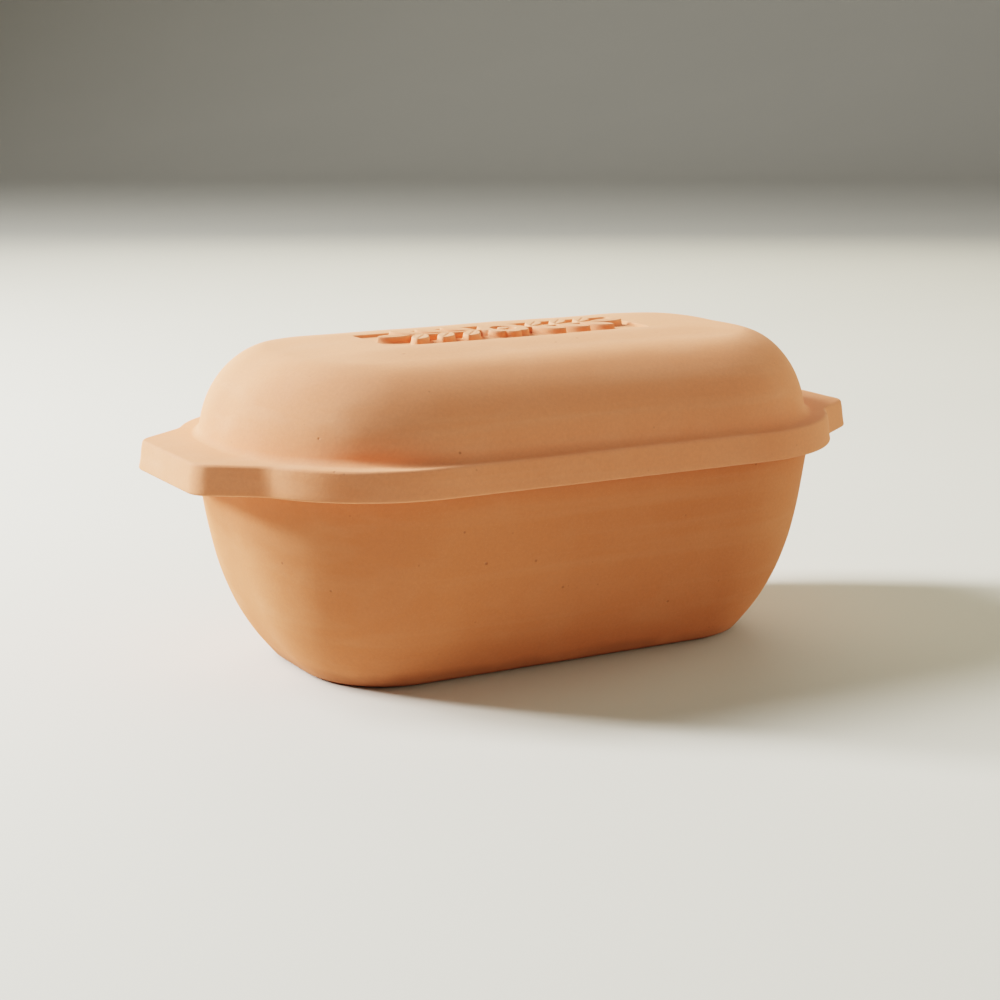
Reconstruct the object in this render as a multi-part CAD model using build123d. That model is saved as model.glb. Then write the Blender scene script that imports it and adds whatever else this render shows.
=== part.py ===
"""Covered clay baker: a loaf-shaped unglazed earthenware dish with a loose domed lid.

Frame: millimetres, +Z up, +X along the length, origin at the centre of the foot.
Nodes: base_dish (the tub) and lid (dome, flange band and both lug handles, fired as one piece).
"""
from build123d import *
import os
from math import cos, pi, radians, sin, sqrt, tan

# ---- driving dimensions -----------------------------------------------------------------
WALL = 8.0                   # fired clay, dish and lid alike

RIM_HALF_LENGTH = 170.0      # outline of the lid's flange band, without the lugs
RIM_HALF_WIDTH = 102.0
RIM_CORNER = 81.0
PARTING_HEIGHT = 101.8       # underside of the flange band
BAND_THICKNESS = 14.6
BAND_DRAFT = 7.0             # degrees
BAND_TOP_ROUND = 1.5
BAND_BOTTOM_ROUND = 1.2

LUG_REACH = 189.8            # end face of each lug handle
LUG_TIP_HALF_WIDTH = 38.0
LUG_BASE = 150.0             # the lugs' sides run this far in before the band covers them
LUG_SPLAY = 35.0             # degrees between a lug's side and the long axis
LUG_OUTER_CORNER = 10.0
LUG_INNER_CORNER = 14.0

OVERHANG = 8.2               # flange edge beyond the dish wall
DISH_CORNER = 80.5           # plan corner radius of the dish's mouth
FOOT_HALF_LENGTH = 122.3
FOOT_HALF_WIDTH = 57.4
FOOT_CORNER = 41.0
FOOT_ROUND = 2.5             # softened edge where the wall meets the table
FLARE_STRAIGHT = 0.38        # share of the flare that is plain draft
FLARE_POWER = 3.5            # the rest gathers towards the foot
FLOOR = 9.0                  # thickness of the dish's bottom
FLOOR_ROUND = 12.0           # inside, where the wall meets the bottom
SEAT_RISE = 6.2              # the dish's rim stands this far up inside the flange
SEAT_GAP = 1.5               # play all round that rim
RIM_ROUND = 1.5

LEDGE = 8.4                  # shelf from the flange's edge to the dome
LEDGE_FILLET = 4.0
DOME_RISE = 42.3             # end of the shoulder above the flange
SHOULDER_X = 37.0            # shoulder's reach at the two ends
SHOULDER_Y = 42.6            # shoulder's reach along the two sides
DOME_CORNER = 86.5           # plan corner radius at the ledge
TOP_CORNER = 34.8            # plan corner radius where the shoulder ends
DOME_FULLNESS = 1.85         # superellipse power of the shoulder
CROWN = 3.0                  # the nearly flat top swells by this much

PANEL_SHIFT = -4.0           # sunken ornament panel on top, a little off centre
PANEL_HALF_LENGTH = 75.0
PANEL_HALF_WIDTH = 22.0
PANEL_CORNER = 2.0
PANEL_DEPTH = 1.5
RELIEF_HEIGHT = 3.3          # the raised ornament above the panel's bottom
BRANCH_START = 12.0          # each leafy branch, outwards from the panel's middle
BRANCH_END = 58.0
BRANCH_WIDTH = 3.6
LEAF = (20.0, 9.0)           # length and width
LEAF_START = 16.0
LEAF_PITCH = 14.5
LEAF_PAIRS = 3
LEAF_ANGLE = 50.0            # degrees from the branch
END_LEAF_START = 52.0
PETALS = 8
PETAL_RADIUS = 5.6
PETAL_RING = 8.4             # radius on which the petals' centres lie
FLOWER_HOLLOW = 6.0          # radius of the hollow inside the petals
FLOWER_BOSS = 3.4            # radius of the button in its middle

# ---- worked-out sizes -------------------------------------------------------------------
DISH_HALF_LENGTH = RIM_HALF_LENGTH - OVERHANG
DISH_HALF_WIDTH = RIM_HALF_WIDTH - OVERHANG
SEAT_HEIGHT = PARTING_HEIGHT + SEAT_RISE
BAND_TOP = PARTING_HEIGHT + BAND_THICKNESS
DOME_HALF_LENGTH = RIM_HALF_LENGTH - LEDGE
DOME_HALF_WIDTH = RIM_HALF_WIDTH - LEDGE
TOP_HEIGHT = BAND_TOP + DOME_RISE + CROWN


def section(half_length, half_width, corner, height):
    """Rounded-rectangle plan outline at one height."""
    return Pos(0, 0, height) * RectangleRounded(2 * half_length, 2 * half_width, corner)


def edges_at(body, height):
    return body.edges().filter_by_position(Axis.Z, height, height)


# ---- dish -------------------------------------------------------------------------------
def flare(height):
    """Half length, half width and corner radius of the dish's outside at one height."""
    depth = max(0.0, 1 - height / PARTING_HEIGHT)
    pull = FLARE_STRAIGHT * depth + (1 - FLARE_STRAIGHT) * depth**FLARE_POWER
    return (
        DISH_HALF_LENGTH - (DISH_HALF_LENGTH - FOOT_HALF_LENGTH) * pull,
        DISH_HALF_WIDTH - (DISH_HALF_WIDTH - FOOT_HALF_WIDTH) * pull,
        DISH_CORNER - (DISH_CORNER - FOOT_CORNER) * pull,
    )


def flare_lean(height):
    """Outward lean of the end and side walls at one height, as run over rise."""
    step = 0.5
    low, high = flare(height - step), flare(height + step)
    return [(high[k] - low[k]) / (2 * step) for k in range(2)]


def dish_outside():
    heights = [0, 3, 7, 12, 19, 28, 40, 55, 72, 88, PARTING_HEIGHT]
    body = loft([section(*flare(z), z) for z in heights])
    return body + extrude(section(*flare(PARTING_HEIGHT), PARTING_HEIGHT), SEAT_RISE)


def dish_inside():
    """The cooking space: one wall in from the outside, with a rounded bottom edge."""
    sections = []
    for rise in [0, 0.8, 2.5, 5, 8, FLOOR_ROUND, 20, 32, 46, 62, 78, PARTING_HEIGHT - FLOOR]:
        z = FLOOR + rise
        lean_x, lean_y = flare_lean(z)
        half_length, half_width, corner = flare(z)
        short = max(0.0, FLOOR_ROUND - rise)
        round_in = FLOOR_ROUND - sqrt(FLOOR_ROUND**2 - short**2)
        in_x = WALL * sqrt(1 + lean_x**2) + round_in
        in_y = WALL * sqrt(1 + lean_y**2) + round_in
        sections.append(section(half_length - in_x, half_width - in_y, corner - WALL, z))
    return loft(sections) + extrude(sections[-1], SEAT_RISE)


def base_dish():
    dish = dish_outside() - dish_inside()
    dish = fillet(edges_at(dish, 0), FOOT_ROUND)
    return fillet(edges_at(dish, SEAT_HEIGHT), RIM_ROUND)


# ---- lid --------------------------------------------------------------------------------
def band_outline():
    """Flange plan: rounded rectangle with a splayed lug handle at each end."""
    rim = RectangleRounded(2 * RIM_HALF_LENGTH, 2 * RIM_HALF_WIDTH, RIM_CORNER)
    base_half_width = LUG_TIP_HALF_WIDTH + (LUG_REACH - LUG_BASE) * tan(radians(LUG_SPLAY))
    quarter = [(LUG_REACH, LUG_TIP_HALF_WIDTH), (LUG_BASE, base_half_width)]
    half = quarter + [(-x, y) for x, y in reversed(quarter)]
    lugs = Polygon(*half, *[(-x, -y) for x, y in half], align=None)
    outline = rim + lugs
    tips = [v for v in outline.vertices() if abs(v.X) > LUG_REACH - 1]
    outline = fillet(tips, LUG_OUTER_CORNER)
    is_root = lambda v: RIM_HALF_LENGTH - RIM_CORNER + 1 < abs(v.X) < RIM_HALF_LENGTH
    return fillet([v for v in outline.vertices() if is_root(v)], LUG_INNER_CORNER)


def flange_band():
    band = extrude(Pos(0, 0, PARTING_HEIGHT) * band_outline(), BAND_THICKNESS, taper=BAND_DRAFT)
    band = fillet(edges_at(band, BAND_TOP), BAND_TOP_ROUND)
    return fillet(edges_at(band, PARTING_HEIGHT), BAND_BOTTOM_ROUND)


def dome(inset, skirt_foot):
    """Solid dome, drawn in all round by inset, with a straight skirt down to skirt_foot."""
    half_length, half_width = DOME_HALF_LENGTH - inset, DOME_HALF_WIDTH - inset
    corner = DOME_CORNER - inset
    rise = DOME_RISE - inset
    sections = []
    for degrees in [0, 10, 20, 32, 44, 56, 68, 79, 90]:
        turn = radians(degrees)
        pull = 1 - max(0.0, cos(turn)) ** (2 / DOME_FULLNESS)
        sections.append(section(
            half_length - (SHOULDER_X - inset) * pull,
            half_width - (SHOULDER_Y - inset) * pull,
            corner - (corner - TOP_CORNER) * pull,
            BAND_TOP + rise * sin(turn) ** (2 / DOME_FULLNESS),
        ))
    swell = section(PANEL_HALF_LENGTH + 3, PANEL_HALF_WIDTH + 3, 2 * PANEL_CORNER,
                    BAND_TOP + rise + CROWN)
    top = loft([sections[-1], Pos(PANEL_SHIFT, 0) * swell], ruled=True)
    skirt = extrude(section(half_length, half_width, corner, skirt_foot), BAND_TOP - skirt_foot)
    return skirt + loft(sections) + top


def leaf(x, angle):
    """One leaf, springing from its branch at x."""
    length, width = LEAF
    return Pos(x, 0) * Rot(0, 0, angle) * Pos(length / 2 - 1, 0) * Ellipse(length / 2, width / 2)


def branch():
    """Leafy branch along +X: pairs of leaves, then one at the tip."""
    middle = (BRANCH_START + BRANCH_END) / 2
    plan = Pos(middle, 0) * Rectangle(BRANCH_END - BRANCH_START, BRANCH_WIDTH)
    plan += leaf(END_LEAF_START, 0)
    for k in range(LEAF_PAIRS):
        for side in (-1, 1):
            plan += leaf(LEAF_START + k * LEAF_PITCH, side * LEAF_ANGLE)
    return plan


def flower():
    """Ring of round petals about a small button."""
    ring = Circle(PETAL_RING)
    for k in range(PETALS):
        turn = 2 * pi * k / PETALS
        ring += Pos(PETAL_RING * cos(turn), PETAL_RING * sin(turn)) * Circle(PETAL_RADIUS)
    return ring - Circle(FLOWER_HOLLOW) + Circle(FLOWER_BOSS)


def ornament():
    """Plan of the raised ornament: a flower between two leafy branches, the same both ways."""
    return flower() + branch() + Rot(0, 0, 180) * branch()


def within_dome_plan(edge):
    box = edge.bounding_box()
    reach_x = max(abs(box.min.X), abs(box.max.X))
    reach_y = max(abs(box.min.Y), abs(box.max.Y))
    return reach_x < DOME_HALF_LENGTH + 0.1 and reach_y < DOME_HALF_WIDTH + 0.1


def lid():
    body = flange_band() + dome(0, SEAT_HEIGHT)
    body = fillet([e for e in edges_at(body, BAND_TOP) if within_dome_plan(e)], LEDGE_FILLET)
    seat = section(DISH_HALF_LENGTH + SEAT_GAP, DISH_HALF_WIDTH + SEAT_GAP,
                   DISH_CORNER + SEAT_GAP, PARTING_HEIGHT)
    body -= extrude(seat, SEAT_RISE)
    body -= dome(WALL, SEAT_HEIGHT)
    panel_bottom = TOP_HEIGHT - PANEL_DEPTH
    panel = section(PANEL_HALF_LENGTH, PANEL_HALF_WIDTH, PANEL_CORNER, panel_bottom)
    body -= extrude(Pos(PANEL_SHIFT, 0) * panel, 2 * PANEL_DEPTH)
    sunk = 0.5
    relief = Pos(PANEL_SHIFT, 0, panel_bottom - sunk) * ornament()
    return body + extrude(relief, RELIEF_HEIGHT + sunk)


os.makedirs("parts", exist_ok=True)
export_step(base_dish(), "parts/base_dish.step")
export_step(lid(), "parts/lid.step")
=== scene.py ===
"""Looks of the covered clay baker: dish and lid meshes, terracotta, studio and camera."""
import math

import bmesh
import bpy
import numpy as np
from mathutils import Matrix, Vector, noise


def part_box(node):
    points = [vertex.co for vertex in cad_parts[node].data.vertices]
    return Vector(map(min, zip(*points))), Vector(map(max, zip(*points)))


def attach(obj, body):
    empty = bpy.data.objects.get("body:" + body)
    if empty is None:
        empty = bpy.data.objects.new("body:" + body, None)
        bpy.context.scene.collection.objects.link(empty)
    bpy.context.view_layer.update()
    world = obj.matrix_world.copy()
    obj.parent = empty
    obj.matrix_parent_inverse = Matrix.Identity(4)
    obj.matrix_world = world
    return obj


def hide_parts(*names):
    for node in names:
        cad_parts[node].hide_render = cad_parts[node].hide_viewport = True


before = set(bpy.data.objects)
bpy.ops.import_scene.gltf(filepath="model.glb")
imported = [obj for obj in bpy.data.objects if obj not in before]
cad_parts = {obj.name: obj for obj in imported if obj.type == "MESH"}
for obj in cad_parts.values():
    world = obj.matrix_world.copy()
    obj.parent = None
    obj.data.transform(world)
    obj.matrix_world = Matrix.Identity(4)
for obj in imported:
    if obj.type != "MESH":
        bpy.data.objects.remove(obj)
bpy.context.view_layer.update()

MM = 0.001

# ---- sizes read from the frame -----------------------------------------------------------
dish_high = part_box("base_dish")[1]
lid_low, lid_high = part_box("lid")
DISH_HALF_LENGTH, DISH_HALF_WIDTH, SEAT_HEIGHT = dish_high
PARTING_HEIGHT = lid_low.z
LUG_REACH = lid_high.x

# ---- sizes of the looks, in metres -------------------------------------------------------
WALL = 8 * MM
OVERHANG = 8.2 * MM                     # flange edge beyond the dish wall
RIM_HALF_LENGTH = DISH_HALF_LENGTH + OVERHANG
RIM_HALF_WIDTH = DISH_HALF_WIDTH + OVERHANG
RIM_CORNER = 81 * MM
BAND_THICKNESS = 14.6 * MM
BAND_DRAFT = math.tan(math.radians(7))  # run over rise of the band's face
BAND_TOP_ROUND = 1.8 * MM
BAND_BOTTOM_ROUND = 1.2 * MM
BAND_TOP = PARTING_HEIGHT + BAND_THICKNESS
LUG_TIP_HALF_WIDTH = 38 * MM
LUG_SPLAY = 35                          # degrees between a lug's side and the long axis
LUG_TIP_ROUND = 14 * MM                 # plan radius of a lug's outer corners
LUG_ROOT_ROUND = 20 * MM                # plan radius where a lug leaves the band

DISH_CORNER = 80.5 * MM
FOOT = (122.3 * MM, 57.4 * MM, 41 * MM)  # half length, half width, corner radius
FOOT_INSET = 3 * MM                     # from the foot's outline to its flat underside
FOOT_EDGE = ((2.0, 0.1), (1.1, 0.45), (0.45, 1.0))  # inset and height along the round between them, mm
FLARE_STRAIGHT = 0.38                   # share of the flare that is plain draft
FLARE_POWER = 3.5                       # the rest gathers towards the foot
FLOOR = 9 * MM                          # thickness of the dish's bottom
FLOOR_ROUND = 12 * MM
RIM_ROUND = 2.2 * MM
SEAT_GAP = 1.5 * MM

LEDGE = 8.4 * MM                        # shelf from the flange's edge to the dome
LEDGE_FILLET = 4.5 * MM
DOME_RISE = 42.3 * MM
SHOULDER_X = 37 * MM
SHOULDER_Y = 42.6 * MM
DOME_CORNER = 86.5 * MM
TOP_CORNER = 34.8 * MM
DOME_FULLNESS = 1.85                    # superellipse power of the shoulder
CROWN = 3 * MM                          # the nearly flat top swells by this much
DOME_HALF_LENGTH = RIM_HALF_LENGTH - LEDGE
DOME_HALF_WIDTH = RIM_HALF_WIDTH - LEDGE
SHOULDER_END = (DOME_HALF_LENGTH - SHOULDER_X, DOME_HALF_WIDTH - SHOULDER_Y, TOP_CORNER)
SHOULDER_TOP = BAND_TOP + DOME_RISE

PANEL = (75 * MM, 22 * MM, 2 * MM)      # half length, half width, corner radius
PANEL_SHIFT = -4 * MM                   # of the panel's middle, along X
PANEL_DEPTH = 1.5 * MM
PANEL_EDGE = 0.9 * MM                   # run of the panel's sloping edge
PANEL_MARGIN = 2.5 * MM                 # of the fine grid beyond the panel
PANEL_SURROUND = 7 * MM                 # from the panel to the first ring of the dome
RELIEF_HEIGHT = 3.3 * MM
RELIEF_EDGE = 0.9 * MM
BRANCH = (12 * MM, 58 * MM)             # each leafy branch, outwards from the panel's middle
STEM_HALF_WIDTH = 1.8 * MM
LEAF = (19.5 * MM, 9.4 * MM)            # length and width
LEAF_START = 16 * MM
LEAF_PITCH = 14.5 * MM
LEAF_PAIRS = 3
LEAF_ANGLE = 50
END_LEAF_START = 52 * MM
PETALS = 8
PETAL_RADIUS = 5.6 * MM
PETAL_RING = 8.4 * MM
FLOWER_HOLLOW = 6 * MM
FLOWER_BOSS = 3.4 * MM
GRID_STEP = 0.42 * MM

HAND_WAVE, HAND_DIMPLE = 0.34, 0.11     # millimetres of unevenness, broad and fine
HAND_SHIFT = {"dish_shell": 3.7, "lid_shell": 11.2}

# points in one quarter of a loop: along the end, round the corner, along the side
N_END, N_CORNER, N_SIDE = 14, 44, 30


# ---- plan outlines -----------------------------------------------------------------------
def arc(centre, radius, start, stop, count):
    """count points of an arc in degrees, from start, stop left out."""
    turns = np.radians(np.linspace(start, stop, count, endpoint=False))
    return np.column_stack([centre[0] + radius * np.cos(turns), centre[1] + radius * np.sin(turns)])


def run(start, stop, count):
    """count points of a straight run, stop left out."""
    return np.linspace(start, stop, count, endpoint=False)


def whole_loop(quarter):
    """A quarter outline from the +X axis to the +Y axis, mirrored into a closed loop."""
    back = quarter[::-1]
    return np.vstack([
        quarter,
        back[1:] * (-1, 1),
        quarter[1:] * (-1, -1),
        back[1:-1] * (1, -1),
    ])


def rounded_loop(half_length, half_width, corner):
    corner = min(corner, half_length - 0.1 * MM, half_width - 0.1 * MM)
    centre = (half_length - corner, half_width - corner)
    return whole_loop(np.vstack([
        run((half_length, 0), (half_length, centre[1]), N_END),
        arc(centre, corner, 0, 90, N_CORNER),
        run((centre[0], half_width), (0, half_width), N_SIDE),
        [(0, half_width)],
    ]))


def band_loop(inset):
    """The flange's outline with its lug handles, drawn in all round by inset."""
    n_face, n_tip, n_side, n_root = 8, 9, 5, 9
    n_arc = N_END + N_CORNER - n_face - n_tip - n_side - n_root
    splay = math.radians(LUG_SPLAY)
    normal = (math.sin(splay), math.cos(splay))
    side = LUG_REACH * normal[0] + LUG_TIP_HALF_WIDTH * normal[1]
    tip_x = LUG_REACH - LUG_TIP_ROUND
    tip = (tip_x, (side - LUG_TIP_ROUND - tip_x * normal[0]) / normal[1])
    corner = (RIM_HALF_LENGTH - RIM_CORNER, RIM_HALF_WIDTH - RIM_CORNER)
    gap = side + LUG_ROOT_ROUND - corner[0] * normal[0] - corner[1] * normal[1]
    meet = 90 - LUG_SPLAY - math.degrees(math.acos(gap / (RIM_CORNER + LUG_ROOT_ROUND)))
    swing = math.radians(meet)
    root = (corner[0] + (RIM_CORNER + LUG_ROOT_ROUND) * math.cos(swing),
            corner[1] + (RIM_CORNER + LUG_ROOT_ROUND) * math.sin(swing))
    to_tip, to_root = LUG_TIP_ROUND - inset, -(LUG_ROOT_ROUND + inset)
    return whole_loop(np.vstack([
        run((LUG_REACH - inset, 0), (LUG_REACH - inset, tip[1]), n_face),
        arc(tip, to_tip, 0, 90 - LUG_SPLAY, n_tip),
        run((tip[0] + to_tip * normal[0], tip[1] + to_tip * normal[1]),
            (root[0] + to_root * normal[0], root[1] + to_root * normal[1]), n_side),
        arc(root, LUG_ROOT_ROUND + inset, 270 - LUG_SPLAY, 180 + meet, n_root),
        arc(corner, RIM_CORNER - inset, meet, 90, n_arc),
        run((corner[0], RIM_HALF_WIDTH - inset), (0, RIM_HALF_WIDTH - inset), N_SIDE),
        [(0, RIM_HALF_WIDTH - inset)],
    ]))


# ---- mesh assembly -----------------------------------------------------------------------
class Skin:
    """Collects rings of points into one closed mesh."""

    def __init__(self):
        self.points, self.faces, self.last = [], [], None

    def add_points(self, points):
        first = len(self.points)
        self.points.extend(map(tuple, points))
        return list(range(first, first + len(points)))

    def ring(self, loop, height):
        """Adds a plan loop, at one height or a height for each point, and joins it to the last."""
        ids = self.add_points(np.column_stack([loop, np.full(len(loop), height)]))
        if self.last is not None:
            self.join(self.last, ids)
        self.last = ids
        return ids

    def join(self, before, after):
        n = len(before)
        for k in range(n):
            m = (k + 1) % n
            self.faces.append((before[k], before[m], after[m], after[k]))

    def stitch(self, before, after):
        """Joins two loops with different numbers of points, both starting on the +X axis."""
        marks = [self.marks(before), self.marks(after)]
        i = j = 0
        while i < len(before) or j < len(after):
            a, b = before[i % len(before)], after[j % len(after)]
            if j >= len(after) or (i < len(before) and marks[0][i + 1] <= marks[1][j + 1]):
                self.faces.append((a, before[(i + 1) % len(before)], b))
                i += 1
            else:
                self.faces.append((a, after[(j + 1) % len(after)], b))
                j += 1

    def marks(self, ids):
        """How far round the loop each point lies, from 0 to 1."""
        at = np.array([self.points[k] for k in ids + ids[:1]])
        steps = np.linalg.norm(np.diff(at, axis=0), axis=1)
        return np.concatenate([[0], np.cumsum(steps)]) / steps.sum()

    def close(self, ids):
        """Closes a flat loop that is symmetric about the X axis with strips across it."""
        n = len(ids)
        for k in range(n // 2):
            strip = [ids[k], ids[k + 1], ids[(n - k - 1) % n], ids[(n - k) % n]]
            self.faces.append(tuple(dict.fromkeys(strip)))

    def build(self, name, material):
        mesh = bpy.data.meshes.new(name)
        mesh.from_pydata(self.points, [], self.faces)
        mesh.validate()
        mesh.materials.append(material)
        mesh.shade_smooth()
        obj = bpy.data.objects.new(name, mesh)
        bpy.context.scene.collection.objects.link(obj)
        return obj


def drawn_in(skin, size, height, steps, least, swell=False):
    """Rings that shrink a rounded loop towards its middle, then close it."""
    half_length, half_width, corner = size
    for k in range(1, steps + 1):
        cut = (half_width - least) * k / steps
        loop = rounded_loop(half_length - cut, half_width - cut, max(corner - cut, least))
        ids = skin.ring(loop, height + crown(*loop.T) if swell else height)
    skin.close(ids)


def hand_finish(obj, lively, shift):
    """Moves the visible surface in and out by a fraction of a millimetre, as sponging leaves it."""
    mesh = obj.data
    count = len(mesh.vertices)
    at, normals = np.empty(3 * count), np.empty(3 * count)
    mesh.vertices.foreach_get("co", at)
    mesh.vertices.foreach_get("normal", normals)
    at, normals = at.reshape(-1, 3), normals.reshape(-1, 3)
    uneven = np.zeros(count)
    for k in np.flatnonzero(lively > 0):
        spot = Vector(at[k])
        uneven[k] = HAND_WAVE * noise.noise(spot * 19 + Vector((shift, 0, 0)))
        uneven[k] += HAND_DIMPLE * noise.noise(spot * 70 + Vector((0, shift, 0)))
    mesh.vertices.foreach_set("co", (at + normals * (uneven * lively * MM)[:, None]).ravel())
    mesh.update()


def face_outwards(obj):
    """Makes every face's normal point out of the clay."""
    mesh = bmesh.new()
    mesh.from_mesh(obj.data)
    bmesh.ops.recalc_face_normals(mesh, faces=mesh.faces)
    mesh.to_mesh(obj.data)
    mesh.free()


# ---- the dish ----------------------------------------------------------------------------
def flare(height):
    """Half length, half width and corner radius of the dish's outside at one height."""
    depth = max(0.0, 1 - height / PARTING_HEIGHT)
    pull = FLARE_STRAIGHT * depth + (1 - FLARE_STRAIGHT) * depth**FLARE_POWER
    top = (DISH_HALF_LENGTH, DISH_HALF_WIDTH, DISH_CORNER)
    return [t - (t - f) * pull for t, f in zip(top, FOOT)]


def flare_inside(height):
    """The same for the cooking space, one wall further in and rounded into the floor."""
    step = 0.5 * MM
    low, high = flare(height - step), flare(height + step)
    lean_x, lean_y = [(high[k] - low[k]) / (2 * step) for k in range(2)]
    short = max(0.0, FLOOR_ROUND - (height - FLOOR))
    round_in = FLOOR_ROUND - math.sqrt(FLOOR_ROUND**2 - short**2)
    half_length, half_width, corner = flare(height)
    return (
        half_length - WALL * math.sqrt(1 + lean_x**2) - round_in,
        half_width - WALL * math.sqrt(1 + lean_y**2) - round_in,
        corner - WALL,
    )


def shrunk(size, inset):
    return [s - inset for s in size]


def make_dish(material):
    skin = Skin()
    foot_flat = shrunk(FOOT, FOOT_INSET)
    skin.ring(rounded_loop(*foot_flat), 0)
    under = skin.last
    for inset, height in FOOT_EDGE:
        skin.ring(rounded_loop(*shrunk(FOOT, inset * MM)), height * MM)
    for height in PARTING_HEIGHT * np.linspace(0.03, 1, 56)**1.15:
        skin.ring(rounded_loop(*flare(height)), height)
    rim = (DISH_HALF_LENGTH, DISH_HALF_WIDTH, DISH_CORNER)
    for turn in np.radians(np.linspace(0, 90, 6)):
        inset = RIM_ROUND * (1 - math.cos(turn))
        height = SEAT_HEIGHT - RIM_ROUND * (1 - math.sin(turn))
        skin.ring(rounded_loop(*shrunk(rim, inset)), height)
    for turn in np.radians(np.linspace(90, 0, 6)):
        inset = WALL - RIM_ROUND * (1 - math.cos(turn))
        height = SEAT_HEIGHT - RIM_ROUND * (1 - math.sin(turn))
        skin.ring(rounded_loop(*shrunk(rim, inset)), height)
    for share in np.linspace(0, 1, 46)[1:]:
        height = PARTING_HEIGHT + (FLOOR - PARTING_HEIGHT) * share**0.8
        skin.ring(rounded_loop(*flare_inside(height)), height)
    drawn_in(skin, flare_inside(FLOOR), FLOOR, 16, 3 * MM)
    skin.last = under
    drawn_in(skin, foot_flat, 0, 16, 3 * MM)
    return skin.build("dish_shell", material)


# ---- the lid -----------------------------------------------------------------------------
def smooth(t):
    t = np.clip(t, 0, 1)
    return t * t * (3 - 2 * t)


def crown(x, y):
    """The slight swell of the lid's top, level under the ornament panel."""
    fade_x = smooth((DOME_HALF_LENGTH - 24 * MM - np.abs(x)) / (60 * MM))
    fade_y = smooth((DOME_HALF_WIDTH - 36 * MM - np.abs(y)) / (34 * MM))
    return CROWN * fade_x * fade_y


def dome_ring(turn, inset):
    """Loop and height of the dome's surface, drawn in by inset, at one turn of its shoulder."""
    pull = 1 - max(0.0, math.cos(turn))**(2 / DOME_FULLNESS)
    foot = (DOME_HALF_LENGTH - inset, DOME_HALF_WIDTH - inset, DOME_CORNER - inset)
    loop = rounded_loop(*[f - (f - e) * pull for f, e in zip(foot, SHOULDER_END)])
    rise = DOME_RISE - inset
    return loop, BAND_TOP + rise * math.sin(turn)**(2 / DOME_FULLNESS)


def blade(x, y, root, angle, size):
    """Height share, 0 to 1, of one leaf of the ornament: narrow at the root, round at the tip."""
    length, width = size
    turn = math.radians(angle)
    along = (x - root[0]) * math.cos(turn) + (y - root[1]) * math.sin(turn)
    across = -(x - root[0]) * math.sin(turn) + (y - root[1]) * math.cos(turn)
    t = np.clip(along / length, 0, 1)
    half = 0.5 * width * np.sin(np.pi * t**1.15)**0.62
    inside = half - np.abs(across)
    body = smooth(inside / RELIEF_EDGE + 0.3)
    body *= (along > 0) & (along < length)
    vein = 0.12 * np.exp(-(across / (0.45 * MM))**2) * smooth(4 * t) * smooth(4 * (1 - t))
    return body * (1 - vein)


def flower(x, y):
    """Height share of the ring of round petals about a small button."""
    away = np.hypot(x, y)
    sector = 2 * math.pi / PETALS
    turn = (np.arctan2(y, x) + sector / 2) % sector - sector / 2
    petal = PETAL_RADIUS - np.hypot(away * np.cos(turn) - PETAL_RING, away * np.sin(turn))
    ring = np.minimum(petal, away - FLOWER_HOLLOW)
    return smooth(np.maximum(ring, FLOWER_BOSS - away) / RELIEF_EDGE + 0.3)


def ornament(x, y):
    """Height share of the whole ornament: a flower between two leafy branches, the same both ways."""
    out = np.abs(x)
    share = smooth((STEM_HALF_WIDTH - np.abs(y)) / RELIEF_EDGE + 0.3) * 0.9
    share = share * ((out > BRANCH[0]) & (out < BRANCH[1]))
    share = np.maximum(share, flower(x, y))
    share = np.maximum(share, blade(out, y, (END_LEAF_START, 0), 0, LEAF))
    for k in range(LEAF_PAIRS):
        for side in (-1, 1):
            root = (LEAF_START + k * LEAF_PITCH, side * 0.5 * MM)
            share = np.maximum(share, blade(out, y, root, side * LEAF_ANGLE, LEAF))
    return share


def panel_height(x, y):
    """Height of the lid's top round the ornament panel."""
    half_length, half_width, corner = PANEL
    x = x - PANEL_SHIFT
    dx = np.abs(x) - (half_length - corner)
    dy = np.abs(y) - (half_width - corner)
    outside = np.hypot(np.maximum(dx, 0), np.maximum(dy, 0)) + np.minimum(np.maximum(dx, dy), 0)
    sunk = smooth((corner - outside) / PANEL_EDGE)
    top = SHOULDER_TOP + crown(x + PANEL_SHIFT, y)
    return top - PANEL_DEPTH * sunk + RELIEF_HEIGHT * ornament(x, y) * sunk


def add_panel(skin, around):
    """The grid of points that carries the panel and its relief, stitched to the ring around it."""
    half_x, half_y = PANEL[0] + PANEL_MARGIN, PANEL[1] + PANEL_MARGIN
    nx, ny = 2 * round(half_x / GRID_STEP), 2 * round(half_y / GRID_STEP)
    x, y = np.meshgrid(np.linspace(-half_x, half_x, nx + 1), np.linspace(-half_y, half_y, ny + 1))
    x += PANEL_SHIFT
    ids = skin.add_points(np.column_stack([x.ravel(), y.ravel(), panel_height(x, y).ravel()]))
    grid = np.array(ids).reshape(ny + 1, nx + 1)
    for j in range(ny):
        for k in range(nx):
            skin.faces.append((grid[j, k], grid[j, k + 1], grid[j + 1, k + 1], grid[j + 1, k]))
    border = np.concatenate([
        grid[ny // 2:, nx], grid[ny, nx - 1::-1], grid[ny - 1::-1, 0],
        grid[0, 1:], grid[1:ny // 2, nx],
    ])
    skin.stitch(around, [int(k) for k in border])


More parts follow.
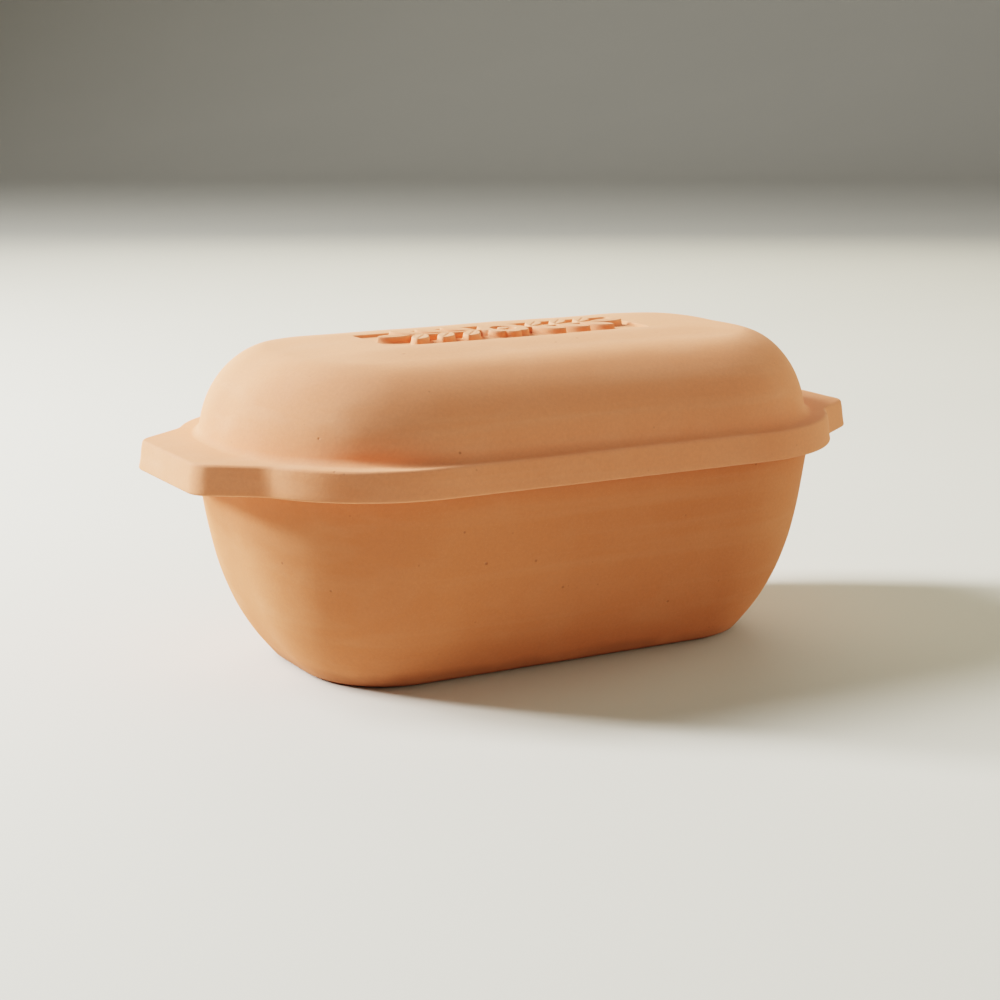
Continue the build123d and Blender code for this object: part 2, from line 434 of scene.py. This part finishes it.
def make_lid(material):
    skin = Skin()
    panel_ring = [size + PANEL_SURROUND for size in PANEL]
    inner = None
    for share in np.linspace(0, 1, 7):
        size = [p + (e - p) * share for p, e in zip(panel_ring, SHOULDER_END)]
        loop = rounded_loop(*size) + (PANEL_SHIFT * (1 - share), 0)
        ids = skin.ring(loop, SHOULDER_TOP + crown(*loop.T))
        inner = inner or ids
    for turn in np.radians(np.linspace(90, 0, 34))[1:-5]:
        loop, height = dome_ring(turn, 0)
        if height > BAND_TOP + LEDGE_FILLET:
            skin.ring(loop, height + crown(*loop.T))
    for turn in np.radians(np.linspace(8, 90, 9)):
        inset = -LEDGE_FILLET * (1 - math.cos(turn))
        foot = (DOME_HALF_LENGTH, DOME_HALF_WIDTH, DOME_CORNER)
        height = BAND_TOP + LEDGE_FILLET * (1 - math.sin(turn))
        skin.ring(rounded_loop(*shrunk(foot, inset)), height)
    face_top = BAND_DRAFT * BAND_THICKNESS
    for turn in np.radians(np.linspace(90, 0, 8)):
        inset = face_top + BAND_TOP_ROUND * (1 - math.cos(turn))
        skin.ring(band_loop(inset), BAND_TOP - BAND_TOP_ROUND * (1 - math.sin(turn)))
    for share in np.linspace(0, 1, 7)[1:-1]:
        face_rise = BAND_THICKNESS - BAND_TOP_ROUND - BAND_BOTTOM_ROUND
        height = BAND_TOP - BAND_TOP_ROUND - face_rise * share
        skin.ring(band_loop(BAND_DRAFT * (height - PARTING_HEIGHT)), height)
    for turn in np.radians(np.linspace(0, 90, 6)):
        inset = BAND_BOTTOM_ROUND * (1 - math.cos(turn))
        skin.ring(band_loop(inset), PARTING_HEIGHT + BAND_BOTTOM_ROUND * (1 - math.sin(turn)))
    seat = (DISH_HALF_LENGTH + SEAT_GAP, DISH_HALF_WIDTH + SEAT_GAP, DISH_CORNER + SEAT_GAP)
    edge = 1 * MM
    for inset, height in [(-edge, 0), (-0.3 * edge, 0.3 * edge), (0, edge)]:
        skin.ring(rounded_loop(*shrunk(seat, inset)), PARTING_HEIGHT + height)
    for inset, height in [(0, edge), (0.3 * edge, 0.3 * edge), (edge, 0)]:
        skin.ring(rounded_loop(*shrunk(seat, inset)), SEAT_HEIGHT - height)
    hollow = (DOME_HALF_LENGTH - WALL, DOME_HALF_WIDTH - WALL, DOME_CORNER - WALL)
    for inset, height in [(-edge, 0), (-0.3 * edge, 0.3 * edge), (0, edge)]:
        skin.ring(rounded_loop(*shrunk(hollow, inset)), SEAT_HEIGHT + height)
    for turn in np.radians(np.linspace(0, 90, 30)):
        loop, height = dome_ring(turn, WALL)
        skin.ring(loop, height + crown(*loop.T))
    drawn_in(skin, SHOULDER_END, SHOULDER_TOP - WALL, 14, 3 * MM, swell=True)
    add_panel(skin, inner)
    return skin.build("lid_shell", material)


# ---- materials ---------------------------------------------------------------------------
class Graph:
    """Wires the shader nodes of one material, with patterns measured on the object in metres."""

    def __init__(self, name):
        self.material = bpy.data.materials.new(name)
        self.material.use_nodes = True
        self.nodes = self.material.node_tree.nodes
        self.links = self.material.node_tree.links
        self.shader = self.nodes["Principled BSDF"]
        self.place = self.nodes.new("ShaderNodeTexCoord").outputs["Object"]

    def add(self, kind, **settings):
        node = self.nodes.new("ShaderNode" + kind)
        for key, value in settings.items():
            setattr(node, key, value)
        return node

    def feed(self, socket, value):
        if isinstance(value, bpy.types.NodeSocket):
            self.links.new(value, socket)
        elif isinstance(value, tuple):
            socket.default_value = (*value, 1)[:len(socket.default_value)]
        else:
            socket.default_value = value

    def placed(self, stretch, shift):
        mapping = self.add("Mapping")
        mapping.inputs["Scale"].default_value = stretch
        mapping.inputs["Location"].default_value = (shift, 1.7 * shift, 0.6 * shift)
        self.links.new(self.place, mapping.inputs["Vector"])
        return mapping.outputs["Vector"]

    def noise(self, scale, stretch=(1, 1, 1), shift=0.0, detail=4.0, warp=0.0):
        """Cloudy pattern, 0 to 1; scale counts features per metre."""
        node = self.add("TexNoise")
        self.links.new(self.placed(stretch, shift), node.inputs["Vector"])
        node.inputs["Scale"].default_value = scale
        node.inputs["Detail"].default_value = detail
        node.inputs["Distortion"].default_value = warp
        return node.outputs["Fac"]

    def cells(self, scale, shift=0.0):
        """Scattered dots: distance from the nearest one and a random number for each."""
        node = self.add("TexVoronoi")
        self.links.new(self.placed((1, 1, 1), shift), node.inputs["Vector"])
        node.inputs["Scale"].default_value = scale
        return node.outputs["Distance"], node.outputs["Color"]

    def ramp(self, value, low, high, start=0.0, stop=1.0):
        node = self.add("MapRange", clamp=True)
        self.feed(node.inputs["Value"], value)
        ends = {"From Min": low, "From Max": high, "To Min": start, "To Max": stop}
        for name, number in ends.items():
            node.inputs[name].default_value = number
        return node.outputs["Result"]

    def math(self, operation, a, b=0.0):
        node = self.add("Math", operation=operation)
        self.feed(node.inputs[0], a)
        self.feed(node.inputs[1], b)
        return node.outputs[0]

    def mix(self, share, a, b, blend="MIX"):
        node = self.add("Mix", data_type="RGBA", blend_type=blend)
        self.feed(node.inputs["Factor"], share)
        self.feed(node.inputs[6], a)
        self.feed(node.inputs[7], b)
        return node.outputs[2]

    def height(self):
        """Height above the table, in metres."""
        split = self.add("SeparateXYZ")
        self.links.new(self.place, split.inputs[0])
        return split.outputs["Z"]

    def spots(self, scale, shift, size, rarity):
        """Round spots of the given size (share of a cell) in one cell out of rarity."""
        distance, chance = self.cells(scale, shift)
        chosen = self.ramp(self.math("FRACT", self.math("MULTIPLY", chance, 7.31)),
                           1 / rarity, 0.8 / rarity)
        return self.math("MULTIPLY", self.ramp(distance, size, 0.5 * size), chosen)


def clay(name, shift, deep, main, pale, foot_height):
    """Unglazed earthenware: cloudy tone, sponge streaks, fine grit, pinholes and creases darkened as
    painted shade, and paler edges that are partly wear and partly a painted highlight.

    Below foot_height, if there is one, the clay is darker towards the bottom."""
    g = Graph(name)
    clouds = g.noise(13, (0.55, 1, 1), shift, 5, 0.3)
    blotch = g.noise(48, (0.7, 1, 1), shift + 3, 4, 0.6)
    streak = g.noise(30, (0.12, 1.1, 3.2), shift + 5, 5, 0.25)
    grain = g.noise(620, shift=shift, detail=3)
    grit = g.noise(1900, shift=shift + 1, detail=2)

    colour = g.mix(g.ramp(clouds, 0.3, 0.7), deep, main)
    colour = g.mix(g.ramp(blotch, 0.45, 0.75, 0, 0.16), colour, pale)
    colour = g.mix(g.ramp(streak, 0.5, 0.74, 0, 0.34), colour, pale)
    colour = g.mix(g.ramp(streak, 0.46, 0.28, 0, 0.34), colour, deep)
    colour = g.mix(g.ramp(grain, 0.3, 0.7, 0.12, 0), colour, (0.30, 0.11, 0.05))
    colour = g.mix(g.ramp(grit, 0.56, 0.72, 0, 0.22), colour, pale)

    edge = g.add("NewGeometry").outputs["Pointiness"]
    # Paler convex edges: partly edge wear, partly a painted highlight along the edges.
    edge_wear_and_highlight = g.math("MULTIPLY", g.ramp(edge, 0.515, 0.56), g.ramp(blotch, 0.3, 0.6, 0.35, 1))
    colour = g.mix(g.math("MULTIPLY", edge_wear_and_highlight, 0.45), colour, pale)
    # Painted shade: concave creases and hollows are mixed darker.
    hollow = g.ramp(edge, 0.49, 0.44)
    colour = g.mix(g.math("MULTIPLY", hollow, 0.25), colour, deep)

    iron = g.spots(260, shift, 0.18, 40)
    pits = g.spots(75, shift + 9, 0.08, 60)
    pinholes = g.spots(190, shift + 13, 0.17, 60)
    colour = g.mix(g.math("MULTIPLY", iron, 0.28), colour, (0.24, 0.09, 0.045))
    # Painted shade: pits and pinholes are coloured dark, as the shade inside them.
    holes = g.math("MULTIPLY", g.math("MAXIMUM", pits, pinholes), 0.5)
    colour = g.mix(holes, colour, (0.24, 0.09, 0.04))
    # Below foot_height the clay is mixed darker, most at the bottom.
    if foot_height:
        ragged = g.math("ADD", g.height(), g.ramp(blotch, 0.3, 0.7, -0.003, 0.003))
        low_darkening = g.ramp(ragged, foot_height, 0.3 * foot_height, 0, 0.5)
        colour = g.mix(low_darkening, colour, (0.36, 0.13, 0.06))
    g.feed(g.shader.inputs["Base Color"], colour)

    rough = g.math("ADD", g.ramp(streak, 0.3, 0.7, 0.86, 0.95), g.ramp(grain, 0.3, 0.7, -0.03, 0.03))
    g.feed(g.shader.inputs["Roughness"], rough)
    g.shader.inputs["Specular IOR Level"].default_value = 0.22
    g.shader.inputs["Diffuse Roughness"].default_value = 0.7

    relief = g.math("MULTIPLY", clouds, 0.5)
    bumps = ((streak, 0.55), (blotch, 0.35), (grain, 0.16), (grit, 0.07), (edge_wear_and_highlight, 0.05))
    for pattern, weight in bumps:
        relief = g.math("ADD", relief, g.math("MULTIPLY", pattern, weight))
    for dent, weight in ((pits, 0.9), (pinholes, 0.4), (iron, 0.06)):
        relief = g.math("SUBTRACT", relief, g.math("MULTIPLY", dent, weight))
    bump = g.add("Bump")
    bump.inputs["Strength"].default_value = 0.75
    bump.inputs["Distance"].default_value = 0.55 * MM
    g.links.new(relief, bump.inputs["Height"])
    g.links.new(bump.outputs["Normal"], g.shader.inputs["Normal"])
    return g.material


lid_clay = clay("lid_clay", 0.0,
                (0.81, 0.287, 0.132), (0.86, 0.32, 0.154), (0.88, 0.41, 0.235), 0)
dish_clay = clay("dish_clay", 21.0,
                 (0.66, 0.21, 0.082), (0.705, 0.238, 0.098), (0.765, 0.32, 0.158), 9 * MM)

dish = make_dish(dish_clay)
lid = make_lid(lid_clay)
for piece, body, node, slot in (
    (dish, "base", "base_dish", "dish_clay"),
    (lid, "lid", "lid", "lid_clay"),
):
    face_outwards(piece)
    x, y, z = np.array([v.co for v in piece.data.vertices]).T
    if piece is dish:
        rim = PARTING_HEIGHT - 4 * MM
        lively = smooth(z / (8 * MM)) * smooth((rim - z) / (10 * MM))
    else:
        clear = np.minimum(z - PARTING_HEIGHT - 1 * MM, 6 * MM)
        outer = np.array([v.normal.z for v in piece.data.vertices]) > -0.2
        lively = smooth(clear / (6 * MM)) * outer
    hand_finish(piece, lively, HAND_SHIFT[piece.name])
    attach(piece, body)
    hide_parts(node)


# ---- studio ------------------------------------------------------------------------------
CAMERA_AZIMUTH = -29.322
CAMERA_ELEVATION = 12.241
LIGHT_AIM = Vector((0, 0, 80 * MM))


def make_stage():
    """Pale floor that sweeps up into a plain backdrop, turned to face the camera."""
    reach, bend, wall, half = 3.6, 1.6, 4.0, 7.0
    profile = [(-4.0, 0.0), (reach, 0.0)]
    for turn in np.radians(np.linspace(0, 90, 25)[1:]):
        profile.append((reach + bend * math.sin(turn), bend * (1 - math.cos(turn))))
    profile.append((reach + bend, wall))
    turn = math.radians(CAMERA_AZIMUTH)
    points, faces = [], []
    for along, height in profile:
        for side in (-half, half):
            points.append((side * math.cos(turn) - along * math.sin(turn),
                           side * math.sin(turn) + along * math.cos(turn), height))
    for k in range(len(profile) - 1):
        faces.append((2 * k, 2 * k + 1, 2 * k + 3, 2 * k + 2))
    mesh = bpy.data.meshes.new("floor")
    mesh.from_pydata(points, [], faces)
    mesh.shade_smooth()
    floor = bpy.data.objects.new("floor", mesh)
    bpy.context.scene.collection.objects.link(floor)
    g = Graph("floor_paint")
    tone = g.noise(3.5, (0.4, 1, 1), 2.0, 3)
    g.feed(g.shader.inputs["Base Color"], g.mix(tone, (0.495, 0.46, 0.385), (0.53, 0.49, 0.412)))
    g.shader.inputs["Roughness"].default_value = 0.75
    g.shader.inputs["Specular IOR Level"].default_value = 0.3
    mesh.materials.append(g.material)


def area_light(name, azimuth, elevation, distance, size, power, colour):
    """A soft square panel aimed at LIGHT_AIM; azimuth 0 is the dish's long front, 90 its right end."""
    a, e = math.radians(azimuth), math.radians(elevation)
    data = bpy.data.lights.new(name, "AREA")
    data.size = size
    data.energy = power
    data.color = colour
    light = bpy.data.objects.new(name, data)
    back = Vector((math.sin(a) * math.cos(e), -math.cos(a) * math.cos(e), math.sin(e)))
    light.location = back * distance + LIGHT_AIM
    light.rotation_mode = "QUATERNION"
    light.rotation_quaternion = back.to_track_quat("Z", "Y")
    bpy.context.scene.collection.objects.link(light)


make_stage()
WINDOW, BOUNCE = (0.975, 1.025, 1.09), (1.02, 1.0, 0.83)
area_light("window_low", -128, 20, 2.4, 0.3, 120, WINDOW)
area_light("window_middle", -128, 34, 2.4, 0.5, 84, WINDOW)
area_light("window_high", -131, 46, 2.4, 0.6, 60, WINDOW)
area_light("fill_front", -10, 15, 2.0, 1.6, 2.5, BOUNCE)
area_light("fill_right", 80, 25, 2.0, 1.6, 15, BOUNCE)
area_light("fill_low", 60, 8, 2.0, 1.0, 15, BOUNCE)
area_light("fill_back", 150, 30, 2.0, 1.6, 20.5, BOUNCE)
area_light("fill_top", 60, 75, 2.0, 1.6, 5.7, BOUNCE)
world = bpy.data.worlds.new("studio")
world.use_nodes = True
world.node_tree.nodes["Background"].inputs["Color"].default_value = (1.0, 0.97, 0.87, 1)
world.node_tree.nodes["Background"].inputs["Strength"].default_value = 0.07
bpy.context.scene.world = world
bpy.context.scene.view_settings.view_transform = "Filmic"
bpy.context.scene.view_settings.look = "Medium High Contrast"

# ---- camera ------------------------------------------------------------------------------
CAMERA_PLACE = Vector((-0.53991, -0.95098, 0.31009))
camera_data = bpy.data.cameras.new("camera")
camera_data.lens = 77.328
camera_data.sensor_width = 36
camera = bpy.data.objects.new("camera", camera_data)
a, e = math.radians(CAMERA_AZIMUTH), math.radians(CAMERA_ELEVATION)
back = Vector((math.sin(a) * math.cos(e), -math.cos(a) * math.cos(e), math.sin(e)))
camera.location = CAMERA_PLACE
camera.rotation_mode = "QUATERNION"
camera.rotation_quaternion = back.to_track_quat("Z", "Y")
bpy.context.scene.collection.objects.link(camera)
bpy.context.scene.camera = camera
